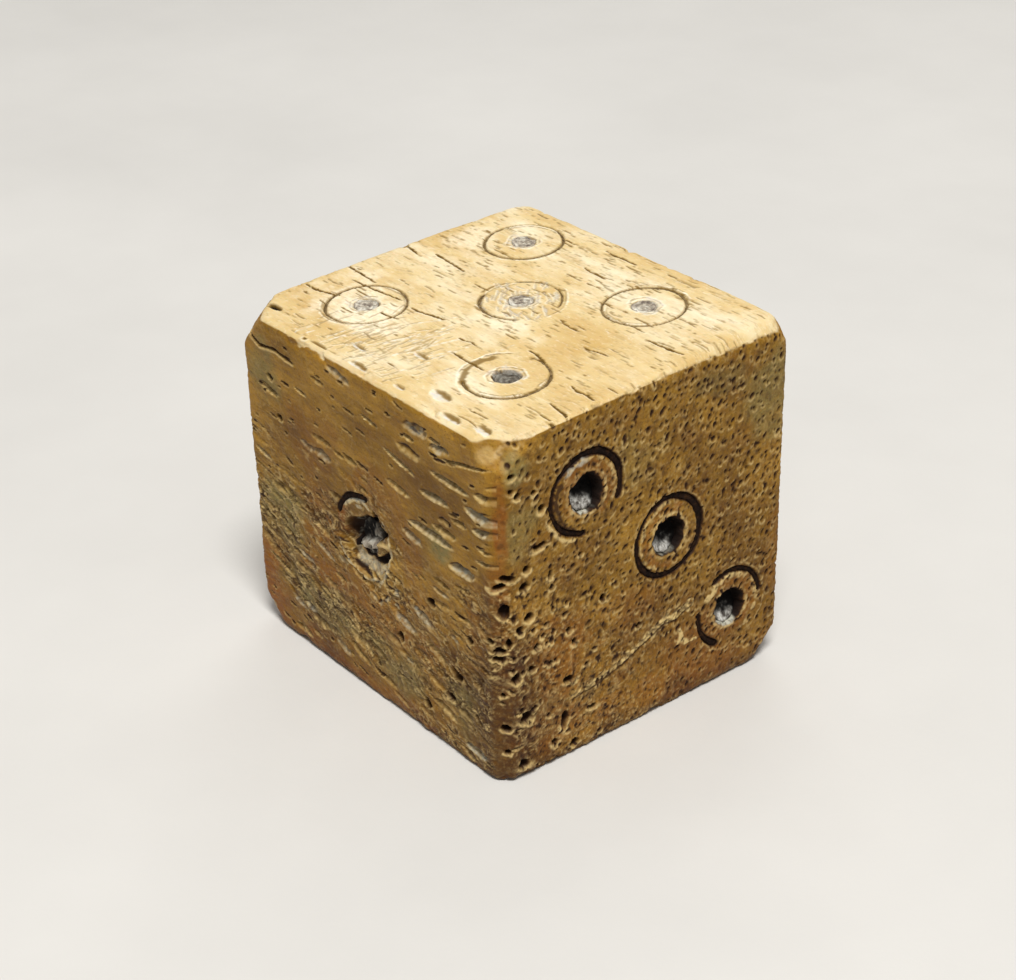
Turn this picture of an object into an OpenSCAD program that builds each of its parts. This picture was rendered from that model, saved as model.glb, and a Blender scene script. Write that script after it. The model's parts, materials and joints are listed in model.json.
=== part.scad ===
// A hand-cut bone die with ring-and-dot pips. The grain of the bone runs along X.
// It stands on its two face with the five face up. The one face looks along -Y and the
// three face along +X, so opposite faces add up to seven. Millimetres, +Z up, origin at
// the middle of the resting face.

/* [Bone blank] */
// Length of the die along the grain, between the four face and the three face
grain_length = 12; // [11.6:0.1:14]
// Depth of the die, between the one face and the six face
depth = 10.6; // [10.4:0.1:13]
// Height of the die at the middle of the five face
height = 10.9; // [10.7:0.1:13]
// Angle by which the hand-cut five face rises towards the six face
five_slope = 2.8; // [0:0.2:4]

/* [Worn edges and corners] */
// Leg of the worn flat along the edges of the five face
top_edge_flat = 0.3; // [0.1:0.05:0.5]
// Leg of the worn flat along the upright edges
upright_edge_flat = 0.5; // [0.1:0.05:0.7]
// Leg of the worn flat along the edges of the two face
bottom_edge_flat = 0.45; // [0.1:0.05:0.6]
// Leg of the worn flat at each corner of the five face
top_corner_flat = 1.2; // [0.9:0.05:1.5]
// Leg of the worn flat at each corner of the two face, short of its resting flat
bottom_corner_flat = 0.8; // [0.75:0.05:0.85]

/* [Pips] */
// Distance of a corner pip from the middle of its face, along each side
pip_reach = 3; // [2.7:0.05:3.2]
// Outer radius of the ring around each pip
ring_r = 1.3; // [1.1:0.05:1.4]
// Width of the ring's groove
ring_w = 0.22; // [0.15:0.01:0.3]
// Depth of the ring's groove
ring_depth = 0.22; // [0.15:0.01:0.35]
// Radius of the drilled dot in the middle of each pip
dot_r = 0.58; // [0.4:0.02:0.7]
// Depth of the drilled dot
dot_depth = 0.8; // [0.5:0.05:1.2]
// Depth of the worn pips on the five face, against that of the other pips
five_worn_depth = 0.65; // [0.5:0.05:1]
// How far the dark filling of a ring lies below the face
ring_fill_drop = 0.05; // [0.02:0.01:0.1]
// Thickness of the dark filling at the bottom of a dot
dot_fill_thickness = 0.25; // [0.1:0.05:0.4]

/* [Hidden] */
$fn = 64;

// Half sizes of the blank along X, Y and Z
half = [grain_length, depth, height] / 2;
// Rise of the five face at the six side, and its drop at the one side
five_rise = half.y * tan(five_slope);
// A cube edge longer than anything it has to cut
cut_size = 2 * max(grain_length, depth, height);

// Signs of the two faces that meet at each edge, or of the three at each corner
SIGNS = [-1, 1];
UPRIGHT_EDGES = [for (x = SIGNS, y = SIGNS) [x, y, 0]];
BOTTOM_EDGES = [[-1, 0, -1], [1, 0, -1], [0, -1, -1], [0, 1, -1]];
CORNERS = [for (x = SIGNS, y = SIGNS, z = SIGNS) [x, y, z]];

// Arcs of a ring that still show, as [start angle, sweep], seen from outside the die
WHOLE = [[0, 360]];

// A face is [name, turn, middle, dot size against dot_r, pips]. A pip is [column, row,
// drift of the hand drill across, drift up, arcs of its ring].
FACES = [
    ["one", [90, 0, 0], [0, -half.y, half.z], 1.25, [
        [0, 0, -0.2, -0.2, [[80, 85]]]]],
    ["two", [180, 0, 0], [0, 0, 0], 1, [
        [-1, 1, 0.1, -0.2, WHOLE],
        [1, -1, 0.1, 0.2, [[20, 310]]]]],
    ["three", [90, 0, 90], [half.x, 0, half.z], 1, [
        [-1, 1, 0.8, -0.15, [[-30, 300]]],
        [0, 0, 0.8, 0.35, WHOLE],
        [1, -1, 0.25, 0, [[0, 130], [180, 60]]]]],
    ["four", [90, 0, -90], [-half.x, 0, half.z], 1, [
        [-1, 1, 0.2, -0.1, WHOLE],
        [1, 1, -0.1, -0.2, [[70, 300]]],
        [-1, -1, 0.1, 0.2, [[-60, 320]]],
        [1, -1, -0.2, 0.1, WHOLE]]],
    ["five", [five_slope, 0, 0], [0, 0, height], 0.82, [
        [-1, -1, -0.35, 0.4, WHOLE],
        [-1, 1, -0.35, 0.3, WHOLE],
        [0, 0, -0.3, 0.7, [[20, 130], [200, 120]]],
        [1, 1, -0.45, -0.1, WHOLE],
        [1, -1, 0, 0.5, [[232, 240]]]]],
    ["six", [90, 0, 180], [0, half.y, half.z], 1, [
        [-1, 1, 0.1, -0.1, WHOLE],
        [-1, 0, 0, 0.1, [[40, 290]]],
        [-1, -1, 0.15, 0.1, WHOLE],
        [1, 1, 0, -0.2, [[-100, 330]]],
        [1, 0, 0.1, 0, WHOLE],
        [1, -1, -0.1, 0.2, WHOLE]]]];

// A name for each filling, such as three_ring_fill_2
function fill_name(face, kind, i) = str(face[0], "_", kind, "_fill_", i + 1);

function wear(face) = face[0] == "five" ? five_worn_depth : 1;
function dot_radius(face) = dot_r * face[3];
function pit_depth(face) = dot_depth * wear(face);
function groove_depth(face) = ring_depth * wear(face);

// Moves what is drawn on the XY plane to a face, with local +Z pointing out of the die
module on_face(face) {
    translate(face[2]) rotate(face[1]) children();
}

// Moves what is drawn at the origin to a pip of a face
module at_pip(face, i) {
    pip = face[4][i];
    on_face(face)
        translate([pip[0] * pip_reach + pip[2], pip[1] * pip_reach + pip[3], 0])
            children();
}

// The arcs of one ring, from height low to height high over the face
module ring_band(arcs, low, high) {
    for (arc = arcs)
        rotate([0, 0, arc[0]])
            rotate_extrude(angle = arc[1])
                translate([ring_r - ring_w, low]) square([ring_w, high - low]);
}

// Everything further than a distance from the origin along a direction
module beyond(direction, distance) {
    turn = atan2(direction.y, direction.x);
    lift = atan2(direction.z, norm([direction.x, direction.y]));
    rotate([0, -lift, turn])
        translate([distance, -cut_size / 2, -cut_size / 2]) cube(cut_size);
}

// Height over the middle of the die at which the end faces of a corner or edge meet
function reach_up(signs) = signs.z > 0 ? half.z + signs.y * five_rise : half.z;

// The waste beyond a flat with the given leg, on the edge or corner with these signs
module worn_flat(signs, leg) {
    reach = abs(signs.x) * half.x + abs(signs.y) * half.y + abs(signs.z) * reach_up(signs);
    translate([0, 0, half.z]) beyond(signs, (reach - leg) / norm(signs));
}

// The waste beyond the flat where the five face meets the three or the four face
module sloped_top_flat(sign) {
    translate([0, 0, height])
        rotate([five_slope, 0, 0])
            beyond([sign, 0, 1], (half.x - top_edge_flat) / sqrt(2));
}

// The sawn bone before any pip is drilled
module blank() {
    difference() {
        translate([-half.x, -half.y, 0]) cube([grain_length, depth, height + five_rise]);
        on_face(FACES[4]) translate([-cut_size / 2, -cut_size / 2, 0]) cube(cut_size);
        for (signs = UPRIGHT_EDGES) worn_flat(signs, upright_edge_flat);
        for (signs = BOTTOM_EDGES) worn_flat(signs, bottom_edge_flat);
        for (sign = SIGNS) {
            worn_flat([0, sign, 1], top_edge_flat);
            sloped_top_flat(sign);
        }
        for (signs = CORNERS)
            worn_flat(signs, signs.z > 0 ? top_corner_flat : bottom_corner_flat);
    }
}

// One piece of dense bone with the ring grooves and the dot pits cut into it
module bone_body() {
    color("burlywood") difference() {
        blank();
        for (face = FACES) for (i = [0 : len(face[4]) - 1]) at_pip(face, i) {
            ring_band(face[4][i][4], -groove_depth(face), 1);
            translate([0, 0, -pit_depth(face)])
                cylinder(r = dot_radius(face), h = pit_depth(face) + 1);
        }
    }
}

// Dark filling left in the groove of one ring
module ring_fill(face, i) {
    color("saddlebrown") at_pip(face, i)
        ring_band(face[4][i][4], -groove_depth(face), -ring_fill_drop);
}

// Dark filling left at the bottom of one dot
module dot_fill(face, i) {
    color("dimgray") at_pip(face, i)
        translate([0, 0, -pit_depth(face)])
            cylinder(r = dot_radius(face), h = dot_fill_thickness);
}

bone_body();
for (face = FACES) for (i = [0 : len(face[4]) - 1]) {
    ring_fill(face, i);
    dot_fill(face, i);
}
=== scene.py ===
"""The looks of a hand-cut bone die with ring-and-dot pips, built on its CAD frame.

The bone is one dense mesh. What is cut into each face is first drawn on a map of that face, in
millimetres, and then pressed into the mesh. The same maps tell the material where the bone is
dirty, chipped or worn, and where shade and highlights are painted on it. Each ring and each dot
holds a filling of its own.
"""

import json
import math
from itertools import product

import bpy
import numpy as np
from mathutils import Matrix, Vector


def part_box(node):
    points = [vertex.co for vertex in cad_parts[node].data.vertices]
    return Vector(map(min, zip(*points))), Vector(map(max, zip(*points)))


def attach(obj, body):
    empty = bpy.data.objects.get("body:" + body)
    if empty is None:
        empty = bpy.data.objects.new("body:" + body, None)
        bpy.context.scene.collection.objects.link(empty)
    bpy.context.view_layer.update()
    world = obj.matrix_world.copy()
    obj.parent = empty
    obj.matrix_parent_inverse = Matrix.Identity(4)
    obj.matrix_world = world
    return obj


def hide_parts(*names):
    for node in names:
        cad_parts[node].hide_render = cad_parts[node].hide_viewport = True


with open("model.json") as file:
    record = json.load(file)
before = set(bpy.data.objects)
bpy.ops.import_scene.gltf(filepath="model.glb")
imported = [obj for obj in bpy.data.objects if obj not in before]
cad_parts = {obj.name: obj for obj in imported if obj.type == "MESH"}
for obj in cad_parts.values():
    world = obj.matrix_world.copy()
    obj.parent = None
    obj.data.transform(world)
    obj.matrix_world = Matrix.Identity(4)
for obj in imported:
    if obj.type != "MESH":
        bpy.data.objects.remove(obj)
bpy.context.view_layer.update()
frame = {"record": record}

MM = 0.001
SEED = 11

# ---------------------------------------------------------------- sizes, in millimetres

CELLS = 300  # cells along each edge of the die
MAP_STEP = 0.02
MAP_HALF = 6.4
SKIN = 0.015  # how far the surface lies inside the CAD block, which leaves room for raised lips
SHARPNESS = 150  # the higher, the crisper the edges between the flats
UV_NAME = "OFBake"  # the name of the bone's UV layer
UV_ISLAND = 0.96  # how much of its cell of the UV sheet each face fills, along each side

# Each face's sideways, upward and outward directions, as seen from outside the die
DIRECTIONS = {
    "one": ((1, 0, 0), (0, 0, 1), (0, -1, 0)),
    "two": ((1, 0, 0), (0, -1, 0), (0, 0, -1)),
    "three": ((0, 1, 0), (0, 0, 1), (1, 0, 0)),
    "four": ((0, -1, 0), (0, 0, 1), (-1, 0, 0)),
    "five": ((1, 0, 0), (0, 1, 0), (0, 0, 1)),
    "six": ((-1, 0, 0), (0, 0, 1), (0, 1, 0)),
}
FACES = {name: np.array(directions, float) for name, directions in DIRECTIONS.items()}
PIP_COUNT = {"one": 1, "two": 2, "three": 3, "four": 4, "five": 5, "six": 6}

low, high = (np.array(corner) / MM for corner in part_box("bone_body"))
mounts = {mount["name"]: mount for mount in frame["record"]["mounts"]}
top_normal = np.array(mounts["five_face_rest"]["axis"], float)
top_point = np.array(mounts["five_face_rest"]["pos_m"], float) / MM
HALF = np.array([high[0], high[1], top_point[2] / 2])
CENTRE = np.array([0, 0, HALF[2]])


# ---------------------------------------------------------------- random fields

def hashed(cells, seed):
    """A value from -1 to 1 for each whole-number cell."""
    h = np.full(cells.shape[:-1], seed * 7919 + 17, np.int64)
    for axis, prime in enumerate((73856093, 19349663, 83492791)[:cells.shape[-1]]):
        h = (h ^ (cells[..., axis] * prime)) & 0xFFFFFFFF
        h = ((h ^ (h >> 15)) * 0x2C1B3C6D) & 0xFFFFFFFF
    h = ((h ^ (h >> 13)) * 0x297A2D39) & 0xFFFFFFFF
    return ((h ^ (h >> 16)) & 0xFFFF) / 32767.5 - 1


def noise(points, seed):
    """Smooth noise from -1 to 1, with bumps about one unit apart."""
    base = np.floor(points).astype(np.int64)
    part = points - base
    part = part * part * (3 - 2 * part)
    total = 0
    for corner in product((0, 1), repeat=points.shape[-1]):
        weight = 1
        for axis, far in enumerate(corner):
            weight = weight * (part[..., axis] if far else 1 - part[..., axis])
        total = total + weight * hashed(base + np.array(corner), seed)
    return total


def fractal(points, seed, octaves=3):
    """Noise with finer noise on top of it."""
    total, weight = 0, 0
    for octave in range(octaves):
        total = total + noise(points * 2.0 ** octave, seed + 31 * octave) / 1.8 ** octave
        weight += 1 / 1.8 ** octave
    return total / weight * 1.4


def smooth(value, start, end):
    """0 before start, 1 after end, and a smooth change between."""
    t = np.clip((value - start) / (end - start), 0, 1)
    return t * t * (3 - 2 * t)


# ---------------------------------------------------------------- maps of the faces

steps = np.arange(-MAP_HALF, MAP_HALF + MAP_STEP / 2, MAP_STEP)
MAP_U, MAP_V = np.meshgrid(steps, steps, indexing="ij")
MAP_UV = np.stack([MAP_U, MAP_V], -1)
ALL = np.s_[:, :]  # the window that holds a whole map
LAYERS = ("depth", "dark", "pale", "grey", "orange", "olive")


def direction(degrees):
    """Cosine and sine of an angle."""
    return np.array([math.cos(math.radians(degrees)), math.sin(math.radians(degrees))])


def mottled(x, y, size, seed):
    """Noise on a map, with bumps of about the given size."""
    return noise(np.stack([x, y], -1) / size, seed)


def bell(value, width):
    """1 where a value is 0, fading to nothing at about twice the width."""
    return np.exp(-(value / width) ** 2)


def window(corner, opposite):
    """The part of a map between two corners."""
    places = [np.clip((np.array(c) + MAP_HALF) / MAP_STEP, 0, len(steps) - 1) for c in (corner, opposite)]
    (i, j), (far_i, far_j) = (place.astype(int) for place in places)
    return np.s_[i:far_i + 2, j:far_j + 2]


def around(u0, v0, reach):
    """The window around a point, and where each of its map points lies from there."""
    win = window((u0 - reach, v0 - reach), (u0 + reach, v0 + reach))
    return win, MAP_U[win] - u0, MAP_V[win] - v0


class FaceMap:
    """What is cut into one face: its depth in millimetres, and how strong each stain, wear, painted shade or
    painted highlight is.
    """

    def __init__(self, name):
        self.name = name
        for layer in LAYERS:
            setattr(self, layer, np.zeros(MAP_U.shape))

    def stamp(self, win, **values):
        """Raises each named layer to the given values wherever it lies lower."""
        for layer, value in values.items():
            part = getattr(self, layer)[win]
            np.maximum(part, value, out=part)

    def stroke(self, points, width, depth, dark=0.9, lip=0.0, ragged=0.3, seed=0, grey=0.0, pale=0.0):
        """A groove along a line of points. Its lower side may have a pale lip, a painted highlight where the
        light from above falls on it.
        """
        points = np.array(points, float)
        reach = 2.5 * width + 0.06
        win = window(points.min(0) - reach, points.max(0) + reach)
        u, v = MAP_U[win], MAP_V[win]
        best = np.full(u.shape, 9.0)
        below = np.zeros(u.shape)
        far = np.zeros(u.shape)
        lengths = np.hypot(*np.diff(points, axis=0).T)
        done, whole = 0.0, max(lengths.sum(), 1e-6)
        for start, step, length in zip(points[:-1], np.diff(points, axis=0), lengths):
            t = ((u - start[0]) * step[0] + (v - start[1]) * step[1]) / max(length ** 2, 1e-9)
            t = np.clip(t, 0, 1)
            off_u, off_v = u - start[0] - t * step[0], v - start[1] - t * step[1]
            gap = np.hypot(off_u, off_v)
            near = gap < best
            best = np.where(near, gap, best)
            below = np.where(near, -off_v, below)
            far = np.where(near, (done + t * length) / whole, far)
            done += length
        taper = 0.35 + 0.65 * np.sqrt(np.clip(4 * far * (1 - far), 0, 1))
        rough = mottled(u, v, max(1.5 * width, 0.08), seed + 5)
        half = width / 2 * taper * (1 + ragged * rough)
        cut = np.clip(1 - (best / half) ** 2, 0, 1)
        self.stamp(win, depth=depth * np.sqrt(cut) * (0.7 + 0.3 * taper),
                   dark=dark * smooth(1 - best / (half + 0.012), 0, 0.35),
                   grey=grey * smooth(1 - best / half, 0.1, 0.5))
        if pale:
            crumbs = 0.5 + 0.9 * mottled(u, v, 0.1, seed + 6)
            self.stamp(win, pale=pale * smooth(1.2 - best / half, 0, 0.4) * crumbs)
        # The pale lip is a painted highlight on the lower side, which faces the light above
        if lip:
            band = 0.35 * width + 0.02
            rim = bell(best - half - 0.5 * band, 0.6 * band) * smooth(below, -0.01, 0.03)
            self.stamp(win, pale=lip * rim * (1 - self.dark[win]))

    def pore(self, u0, v0, across, along, angle=0.0, depth=0.1, dark=1.0, lip=0.0, seed=0, ragged=0.18,
             thick=1.0):
        """An oval pit. across and along are its half sizes, and angle turns its long axis from v. With a lip,
        its lower inside is painted less dark and its lower rim pale, as painted light from above.
        """
        win, x, y = around(u0, v0, 1.6 * max(across, along) + 0.08)
        c, s = direction(angle)
        r = np.hypot((x * c + y * s) / across, (y * c - x * s) / along)
        r = r * (1 + ragged * mottled(x, y, 0.8 * across + 0.05, seed + 3))
        edge = smooth(1.12 - r, 0, 0.35)
        shade = 1.0 if not lip else 0.72 + 0.28 * smooth(y / along, -0.6, 0.2)
        self.stamp(win, depth=depth * np.sqrt(np.clip(1 - r ** 3, 0, 1)), dark=dark * edge * shade)
        # The pale rim on the lower side is a painted highlight
        if lip:
            band = 0.03 * thick / max(min(across, along), 0.03)
            rim = bell(r - 1.1 - band, 0.6 * band + 0.1) * smooth(-y / along, -0.1, 0.7)
            self.stamp(win, pale=lip * rim)

    def lens(self, u0, v0, length, height, angle, depth=0.13, grey=0.0, dark=0.95, lip=1.0, seed=0,
             ragged=0.3):
        """A canal cut open at a slant: painted shadow under its upper rim, and a pale lower side painted as
        lit.
        """
        win, x, y = around(u0, v0, 1.3 * length + 0.1)
        c, s = direction(angle)
        along, up = (x * c + y * s) / length, (y * c - x * s) / height
        up = up + ragged * noise(np.stack([along * 3, up * 0.4], -1), seed + 2)
        r = np.hypot(along, up)
        inside = smooth(1.05 - r, 0, 0.3)
        # Painted shadow under the upper rim, and a painted highlight on the pale lower side
        roof_shadow = smooth(up, 0.05, 0.5) * smooth(1.15 - r, 0, 0.25)
        floor = smooth(0.35 - up, 0, 0.4) * smooth(1.2 - r, 0, 0.25)
        crumbs = 0.65 + 0.5 * mottled(x, y, 0.07, seed + 7)
        self.stamp(win, depth=depth * inside * smooth(up, -1.1, 0.6), dark=dark * roof_shadow,
                   pale=lip * floor * crumbs, grey=grey * inside * smooth(0.6 - up, 0, 0.5) * crumbs)

    def fibres(self, slope, amount, seed, length=0.45, width=0.12, relief=0.05, pale=0.9, dark=0.8,
               level=0.12):
        """Torn hollows along the grain: painted shadow under their upper rims and in the hollows, with thin
        pale lower rims painted as highlights.
        """
        tilt = np.tan(np.radians(slope))
        across = MAP_V - MAP_U * tilt + 0.12 * fractal(MAP_UV / 0.8, seed)
        texture = fractal(np.stack([MAP_U / length, across / width], -1), seed + 1, 4)
        rise = np.gradient(texture, MAP_STEP, axis=1) * width
        hollow = smooth(texture, level - 0.05, level + 0.3)
        self.depth += relief * amount * hollow
        # Painted highlights on the lower rims, and painted shadow under the upper rims and in the hollows
        rim = bell(texture - level, 0.13)
        roof_shadow = bell(texture - level - 0.1, 0.16) * smooth(-rise, 0.1, 0.9)
        self.stamp(ALL, pale=pale * amount * rim * smooth(rise, 0.1, 0.9),
                   dark=dark * amount * np.maximum(roof_shadow, 0.45 * hollow))

    def grit(self, amount, seed, size=0.1, relief=0.025, pale=0.7, dark=0.6, squash=1.0):
        """Fine crumbs and hollows with no direction of their own: the hollows painted dark as shade, the
        crumbs pale, partly as painted glints.
        """
        texture = fractal(np.stack([MAP_U / size, MAP_V / (size * squash)], -1), seed, 3)
        self.depth += relief * amount * (0.6 - texture)
        self.stamp(ALL, pale=pale * amount * smooth(texture, 0.35, 0.85),
                   dark=dark * amount * smooth(-texture, 0.35, 0.85))

    def wash(self, layer, patches, seed):
        """Soft stained patches, each (u, v, reach along u, reach along v, strength)."""
        mottle = fractal(MAP_UV / 0.7, seed)
        for u, v, along, up, strength in patches:
            away = ((MAP_U - u) / along) ** 2 + ((MAP_V - v) / up) ** 2
            self.stamp(ALL, **{layer: strength * smooth(1.25 - away + 0.7 * mottle, 0, 1.2)})

    def ring(self, u0, v0, shape, depth, start=0.0, sweep=360.0, dark=1.0):
        """A ring groove, or an arc of one."""
        win, x, y = around(u0, v0, shape.radius + 0.5)
        angle = np.arctan2(y, x)
        shown = arc_weight(np.degrees(angle), start, sweep)
        half = shape.half_width(angle) * (0.25 + 0.75 * shown)
        half = half * (1 + 0.12 * mottled(x, y, 0.12, shape.seed))
        gap = np.abs(np.hypot(x, y) - shape.line(angle)) / half
        cut = np.clip(1 - gap ** 3, 0, 1) * (shown > 0.02)
        self.stamp(win, depth=depth * np.sqrt(cut) * smooth(shown, 0, 0.6),
                   dark=dark * smooth(1.15 - gap, 0, 0.3) * smooth(shown, 0, 0.5))

    def band(self, layer, u0, v0, radius, width, start=0.0, sweep=360.0, strength=1.0, ragged=0.5, seed=0):
        """A ragged arc of one layer around a point."""
        win, x, y = around(u0, v0, radius + width + 0.1)
        angle = np.arctan2(y, x)
        shown = arc_weight(np.degrees(angle), start, sweep)
        drift = 0.05 * noise(np.stack([np.cos(angle), np.sin(angle)], -1) * 3, seed + 1)
        gap = np.abs(np.hypot(x, y) - radius - drift)
        edge = smooth(1 + ragged * mottled(x, y, 0.11, seed) - 2 * gap / width, 0, 0.5)
        self.stamp(win, **{layer: strength * shown * edge})

    def curls(self, slope, amount, seed, length, width, thin=0.07, dark=0.4):
        """Thin pale outlines that follow the grain, each with a fine dark line of painted shadow on its upper
        side.
        """
        tilt = np.tan(np.radians(slope))
        across = MAP_V - MAP_U * tilt + 0.15 * fractal(MAP_UV / 0.7, seed)
        texture = fractal(np.stack([MAP_U / length, across / width], -1), seed + 1, 3)
        broken = amount * smooth(noise(MAP_UV / 0.35, seed + 9), -0.5, 0.2)
        self.stamp(ALL, pale=broken * bell(texture, thin),
                   dark=dark * broken * bell(texture - 2.2 * thin, 1.3 * thin))
        self.depth += 0.02 * amount * smooth(texture, 0, 0.4)

    def dot(self, u0, v0, shape, depth, dark=1.0, rim=0.5):
        """A drilled pit with crumbled sides. Its inside is painted dark as shade, and its crumbled rim is
        palest on the lower side, as a painted highlight.
        """
        win, x, y = around(u0, v0, 1.5 * shape.radius + 0.2)
        r = np.hypot(x, y) / shape.line(np.arctan2(y, x))
        r = r * (1 + 0.07 * mottled(x, y, 0.14, shape.seed + 9))
        wall = np.clip(1 - r ** 9, 0, 1) ** 0.5
        chamfer = 0.025 * smooth(1.16 - r, 0, 0.16)
        crumbs = 0.6 + 0.6 * mottled(x, y, 0.09, shape.seed + 4)
        edge = bell(r - 1.2, 0.1) * (0.45 + 0.55 * smooth(-y / shape.radius, -0.5, 0.6))
        self.stamp(win, depth=np.maximum(depth * wall, chamfer), dark=dark * smooth(1.1 - r, 0, 0.09),
                   pale=rim * edge * crumbs)


def arc_weight(degrees, start, sweep):
    """1 on an arc, fading to 0 over a few degrees at its ends."""
    if sweep >= 360:
        return np.ones_like(degrees)
    place = (degrees - start) % 360
    fade = np.minimum(place, sweep - place) / 7
    return np.clip(fade, 0, 1) * (place < sweep)


class Wobble:
    """A hand-cut circle: its radius and the width of its line change a little around it."""

    def __init__(self, radius, width, seed, rough=1.0):
        rng = np.random.default_rng(seed)
        self.seed = int(seed)
        self.radius, self.width = radius, width
        self.waves = [(n, rough * size * rng.uniform(0.4, 1), rng.uniform(0, 2 * math.pi))
                      for n, size in ((2, 0.016), (3, 0.01), (5, 0.006), (9, 0.004))]
        self.thick = [(n, size, rng.uniform(0, 2 * math.pi)) for n, size in ((1, 0.22), (2, 0.15), (7, 0.08))]

    def line(self, angle):
        """Distance of the line from the middle of the circle, at each angle."""
        return self.radius * (1 + sum(size * np.sin(n * angle + p) for n, size, p in self.waves))

    def half_width(self, angle):
        """Half the width of the line, at each angle."""
        return self.width / 2 * (1 + sum(size * np.sin(n * angle + p) for n, size, p in self.thick))


# ---------------------------------------------------------------- pips

# Arcs of a ring that still show, as (start, sweep) in degrees, for the rings that are worn
WORN_RINGS = {
    "one_1": [(80, 85)],
    "two_2": [(20, 310)],
    "three_1": [(-30, 300)],
    "three_3": [(0, 128), (166, 86)],
    "four_2": [(70, 300)],
    "four_3": [(-60, 320)],
    "five_3": [(20, 130), (200, 120)],
    "five_5": [(232, 240)],
    "six_2": [(40, 290)],
    "six_4": [(-100, 330)],
}


class Pip:
    """One ring and dot, at its place on its face."""

    def __init__(self, face, index):
        self.face, self.index = face, index
        self.key = f"{face}_{index}"
        self.ring_node = f"{face}_ring_fill_{index}"
        self.dot_node = f"{face}_dot_fill_{index}"
        sideways, upward, _ = FACES[face]
        box_low, box_high = (np.array(corner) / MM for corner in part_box(self.dot_node))
        middle = (box_low + box_high) / 2 - CENTRE
        self.u, self.v = middle @ sideways, middle @ upward
        seed = SEED + 100 * list(FACES).index(face) + index
        worn = face in ("five", "two")
        # Mean radius and width of the ring's line. The photo's ring on the one face is the widest.
        self.ring = Wobble(1.38, 0.18, seed) if face == "one" else Wobble(1.21, 0.1 if worn else 0.2, seed)
        # The visible dot takes up only a share of the pit's radius in CAD
        drilled = (box_high - box_low) @ np.abs(sideways) / 2
        share = {"five": 0.8, "one": 0.78}.get(face, 0.97)
        self.dot = Wobble(drilled * share, 0.1, seed + 50, rough=6 if face == "one" else 1.6)
        self.arcs = WORN_RINGS.get(self.key, [(0, 360)])
        self.ring_depth = 0.09 if worn else 0.17
        self.ring_dark = 0.62 if face == "five" else 1.0
        self.dot_depth, self.dirt_depth = 0.62, 0.33
        self.dot_dark, self.dot_rim = 1.0, 0.9
        if face == "one":
            self.dot_depth, self.dirt_depth = 0.5, 0.36
        if face == "five":
            self.dot_depth, self.dirt_depth = 0.11, 0.02
            self.dot_dark, self.dot_rim = 0.45, 0.6
        if self.key == "five_5":
            self.dot_depth, self.dirt_depth, self.dot_dark = 0.3, 0.12, 0.95


PIPS = {(face, index): Pip(face, index) for face in FACES for index in range(1, PIP_COUNT[face] + 1)}


def pips_of(face):
    return [pip for pip in PIPS.values() if pip.face == face]


def draw_pips(face_map):
    """The rings and dots of a face, with crumbled rims on the faces that are not worn or broken."""
    for pip in pips_of(face_map.name):
        for start, sweep in pip.arcs:
            face_map.ring(pip.u, pip.v, pip.ring, pip.ring_depth, start, sweep, pip.ring_dark)
        face_map.dot(pip.u, pip.v, pip.dot, pip.dot_depth, pip.dot_dark, pip.dot_rim)
        if pip.face not in ("five", "one"):
            crumble_rims(face_map, pip)


def crumble_rims(face_map, pip):
    """Cracks, grey dirt and pale or orange arcs around a drilled dot and inside its ring."""
    rng = np.random.default_rng(pip.dot.seed)
    middle, r = np.array([pip.u, pip.v]), pip.dot.radius
    for index in range(6):
        angle = rng.uniform(0, 2 * math.pi)
        side = r * np.array([math.cos(angle), math.sin(angle)])
        end = middle + rng.uniform(1.1, 1.35) * side + rng.normal(0, 0.04, 2)
        face_map.stroke([middle + 0.95 * side, end], rng.uniform(0.04, 0.07), 0.05, 0.9, seed=index)
    turn = rng.uniform(0, 360)
    arcs = [
        ("grey", 0.93 * r, 0.2, 205, 95, 1.3, 0.5, 4), ("pale", 1.22 * r, 0.1, turn, 200, 0.9, 1.2, 0),
        ("pale", 1.05, 0.12, turn + 120, 170, 0.8, 1.3, 1),
        ("pale", 1.37, 0.05, turn + 40, 250, 0.6, 1.3, 2),
        ("orange", 0.85, 0.3, turn + 90, 230, 0.7, 0.8, 3),
    ]
    for layer, radius, width, start, sweep, strength, ragged, seed in arcs:
        face_map.band(layer, pip.u, pip.v, radius, width, start, sweep, strength, ragged, pip.dot.seed + seed)


# ---------------------------------------------------------------- grain of each face

def along_u(u, v):
    """The slope of a grain that runs straight across a face."""
    return 0


def grain_dashes(face_map, count, slope, rng, length=(0.15, 0.7), width=(0.03, 0.07), depth=0.045, dark=0.85,
                 lip=0.0, keep=None):
    """Short open canals of the bone, running along its grain."""
    drawn = 0
    while drawn < count:
        u, v = rng.uniform(-5.95, 5.95, 2)
        chance = 0.55 + 0.6 * noise(np.array([u, v * 1.5]) / 1.4, SEED + drawn % 2)
        if keep is not None:
            chance = chance * keep(u, v)
        if rng.uniform() > chance:
            drawn += rng.uniform() < 0.3
            continue
        drawn += 1
        size = length[0] + (length[1] - length[0]) * rng.uniform() ** 2
        step = direction(slope(u, v) + rng.normal(0, 2.5)) * size / 2
        bend = np.array([-step[1], step[0]]) * rng.normal(0, 0.08)
        middle = np.array([u, v])
        face_map.stroke([middle - step, middle + bend, middle + step], rng.uniform(*width),
                        depth * rng.uniform(0.6, 1.3), dark * rng.uniform(0.5, 1), lip, seed=drawn)


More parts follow.
